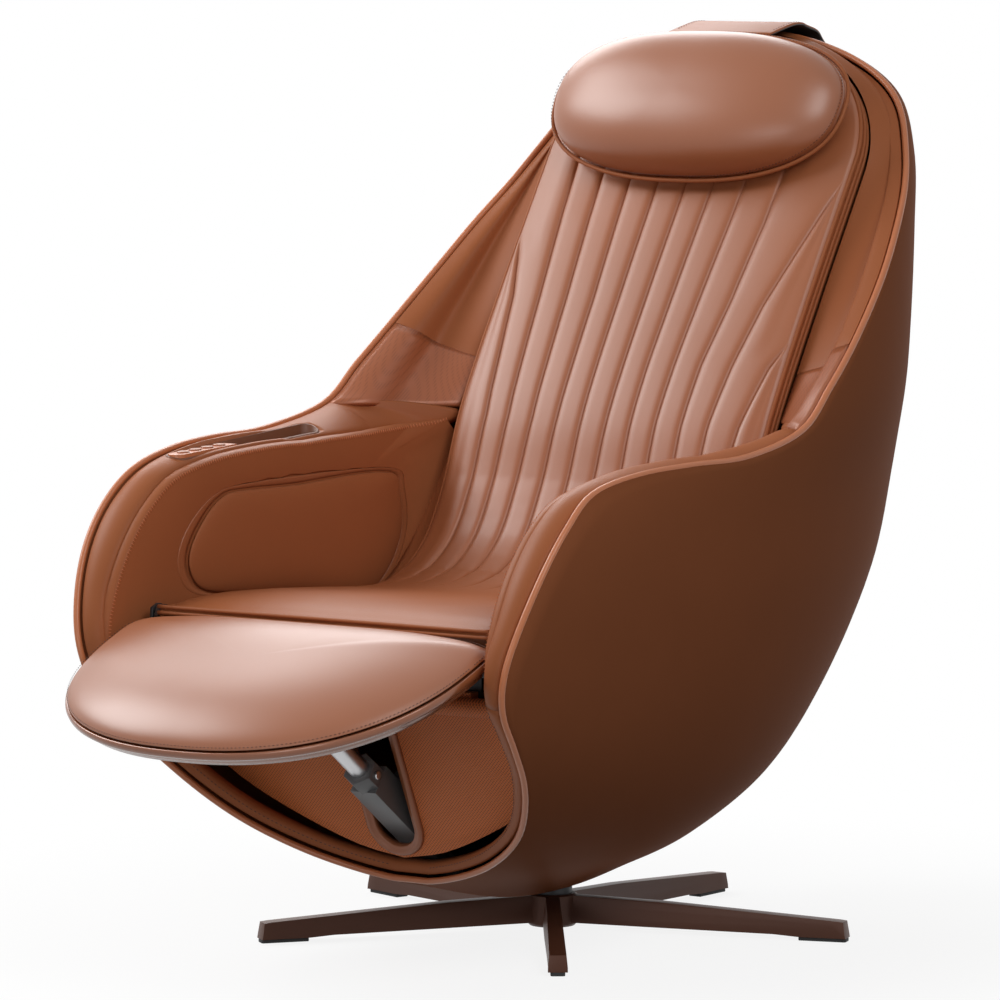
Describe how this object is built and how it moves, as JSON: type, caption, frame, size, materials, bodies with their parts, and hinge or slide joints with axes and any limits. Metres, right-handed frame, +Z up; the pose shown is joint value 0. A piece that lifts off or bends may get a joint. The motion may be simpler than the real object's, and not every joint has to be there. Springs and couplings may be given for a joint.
{
  "type": "massage chair",
  "caption": "Egg-shaped upholstered massage chair on a star swivel base, with a channelled seat, headrest pillow and powered folding leg rest.",
  "frame": {"origin": "on the floor, on the axis that the chair turns about", "axes": "+Z up, -Y the way the sitter faces, +X towards the sitter's left"},
  "size_m": [0.7064, 1.3051, 1.0761],
  "materials": {
    "base_paint": "satin",
    "glide_rubber": "matt",
    "bearing_steel": "ground",
    "frame_steel": "black paint",
    "screw_steel": "zinc plated",
    "shell_skin": "semi-gloss",
    "black_plastic": "fine texture",
    "seat_leather": "semi-gloss",
    "copper_mesh": "satin mesh",
    "dark_leather": "semi-gloss",
    "trim_brown": "gloss",
    "front_fabric": "perforated",
    "control_grey": "satin",
    "button_dark": "satin",
    "rail_aluminium": "anodised",
    "grey_plastic": "satin",
    "switch_red": "gloss",
    "tray_brown": "gloss",
    "tube_aluminium": "satin",
    "actuator_grey": "satin",
    "arm_grey": "satin",
    "roller_ivory": "matt",
    "strap_black": "woven"
  },
  "bodies": {
    "base": {"star_base": "base_paint", "foot_glides": "glide_rubber", "lower_bearing_race": "bearing_steel", "bearing_balls": "bearing_steel"},
    "seat_shell": {"upper_bearing_race": "bearing_steel", "swivel_spindle": "frame_steel", "spindle_nut": "screw_steel", "swivel_plate": "frame_steel", "plate_bolts": "screw_steel", "under_frame": "frame_steel", "outer_shell": "shell_skin", "rear_cover": "black_plastic", "rear_cover_screws": "screw_steel", "left_arm_pad": "seat_leather", "right_arm_pad": "seat_leather", "head_surround": "seat_leather", "front_liner": "seat_leather", "left_mesh_insert": "copper_mesh", "right_mesh_insert": "copper_mesh", "left_side_wall": "dark_leather", "right_side_wall": "dark_leather", "left_side_bezel": "trim_brown", "right_side_bezel": "trim_brown", "left_air_cushion": "seat_leather", "right_air_cushion": "seat_leather", "seat_pan": "black_plastic", "seat_back_cushion": "seat_leather", "front_mesh_panel": "front_fabric", "slot_rim_trim": "trim_brown", "hinge_brackets": "frame_steel", "hinge_pins": "screw_steel", "actuator_bracket": "frame_steel", "control_tray": "black_plastic", "control_panel": "control_grey", "carriage_rails": "rail_aluminium", "control_box": "grey_plastic", "air_pump": "grey_plastic", "power_inlet": "black_plastic"},
    "leg_rest": {"leg_rest_cushion": "seat_leather", "leg_rest_tray": "tray_brown", "leg_rest_arms": "frame_steel", "clevis_pin": "screw_steel"},
    "actuator_rod": {"actuator_tube": "tube_aluminium"},
    "actuator_body": {"actuator_housing": "actuator_grey", "collar_screws": "screw_steel"},
    "carriage": {"massage_carriage": "frame_steel", "carriage_motors": "grey_plastic"},
    "left_kneader": {"left_massage_arm": "arm_grey"},
    "right_kneader": {"right_massage_arm": "arm_grey"},
    "left_upper_wheel": {"left_upper_roller": "roller_ivory"},
    "left_lower_wheel": {"left_lower_roller": "roller_ivory"},
    "right_upper_wheel": {"right_upper_roller": "roller_ivory"},
    "right_lower_wheel": {"right_lower_roller": "roller_ivory"},
    "headrest": {"headrest_pillow": "seat_leather", "pillow_strap": "strap_black"},
    "power_key": {"power_button": "button_dark"},
    "program_key": {"program_button": "button_dark"},
    "strength_key": {"strength_button": "button_dark"},
    "heat_key": {"heat_button": "button_dark"},
    "mains_rocker": {"power_switch": "switch_red"}
  },
  "joints": [
    {"name": "swivel", "type": "hinge", "parent": "base", "child": "seat_shell", "pos_m": [0, 0, 0.04], "axis": [0, 0, 1], "continuous": true},
    {"name": "leg_rest_fold", "type": "hinge", "parent": "seat_shell", "child": "leg_rest", "pos_m": [0, -0.446, 0.405], "axis": [1, 0, 0], "range_deg": [0, 38]},
    {"name": "rod_pivot", "type": "hinge", "parent": "leg_rest", "child": "actuator_rod", "pos_m": [0, -0.525, 0.335], "axis": [1, 0, 0], "range_deg": [-60, 0]},
    {"name": "rod_slide", "type": "slide", "parent": "actuator_rod", "child": "actuator_body", "axis": [0, 0.8039, -0.5948], "range_m": [-0.1, 0]},
    {"name": "carriage_travel", "type": "slide", "parent": "seat_shell", "child": "carriage", "axis": [0, 0.5334, 0.8459], "range_m": [0, 0.25]},
    {"name": "left_arm_swing", "type": "hinge", "parent": "carriage", "child": "left_kneader", "pos_m": [0.062, 0.22905, 0.6107], "axis": [1, 0, 0], "range_deg": [-2.4, 2.4]},
    {"name": "right_arm_swing", "type": "hinge", "parent": "carriage", "child": "right_kneader", "pos_m": [-0.062, 0.22905, 0.6107], "axis": [1, 0, 0], "range_deg": [-2.4, 2.4]},
    {"name": "left_upper_spin", "type": "hinge", "parent": "left_kneader", "child": "left_upper_wheel", "pos_m": [0.078, 0.23597, 0.67135], "axis": [1, 0, 0], "continuous": true},
    {"name": "left_lower_spin", "type": "hinge", "parent": "left_kneader", "child": "left_lower_wheel", "pos_m": [0.078, 0.1773, 0.57831], "axis": [1, 0, 0], "continuous": true},
    {"name": "right_upper_spin", "type": "hinge", "parent": "right_kneader", "child": "right_upper_wheel", "pos_m": [-0.078, 0.23597, 0.67135], "axis": [1, 0, 0], "continuous": true},
    {"name": "right_lower_spin", "type": "hinge", "parent": "right_kneader", "child": "right_lower_wheel", "pos_m": [-0.078, 0.1773, 0.57831], "axis": [1, 0, 0], "continuous": true},
    {"name": "pillow_height", "type": "slide", "parent": "seat_shell", "child": "headrest", "axis": [0, 0.5334, 0.8459], "range_m": [0, 0.02]},
    {"name": "power_press", "type": "slide", "parent": "seat_shell", "child": "power_key", "axis": [0, 0.0558, -0.9984], "range_m": [0, 0.0015], "stiffness_N_per_m": 300},
    {"name": "program_press", "type": "slide", "parent": "seat_shell", "child": "program_key", "axis": [0, 0.0558, -0.9984], "range_m": [0, 0.0015], "stiffness_N_per_m": 300},
    {"name": "strength_press", "type": "slide", "parent": "seat_shell", "child": "strength_key", "axis": [0, 0.0558, -0.9984], "range_m": [0, 0.0015], "stiffness_N_per_m": 300},
    {"name": "heat_press", "type": "slide", "parent": "seat_shell", "child": "heat_key", "axis": [0, 0.0558, -0.9984], "range_m": [0, 0.0015], "stiffness_N_per_m": 300},
    {"name": "mains_rock", "type": "hinge", "parent": "seat_shell", "child": "mains_rocker", "pos_m": [0.03, 0.37799, 0.27104], "axis": [1, 0, 0], "range_deg": [-8, 8]}
  ],
  "couplings": [
    {"joint": "rod_pivot", "follows": "leg_rest_fold", "ratio": -1.03},
    {"joint": "rod_slide", "follows": "leg_rest_fold", "m_per_rad": -0.1},
    {"joint": "right_arm_swing", "follows": "left_arm_swing", "ratio": -1}
  ]
}
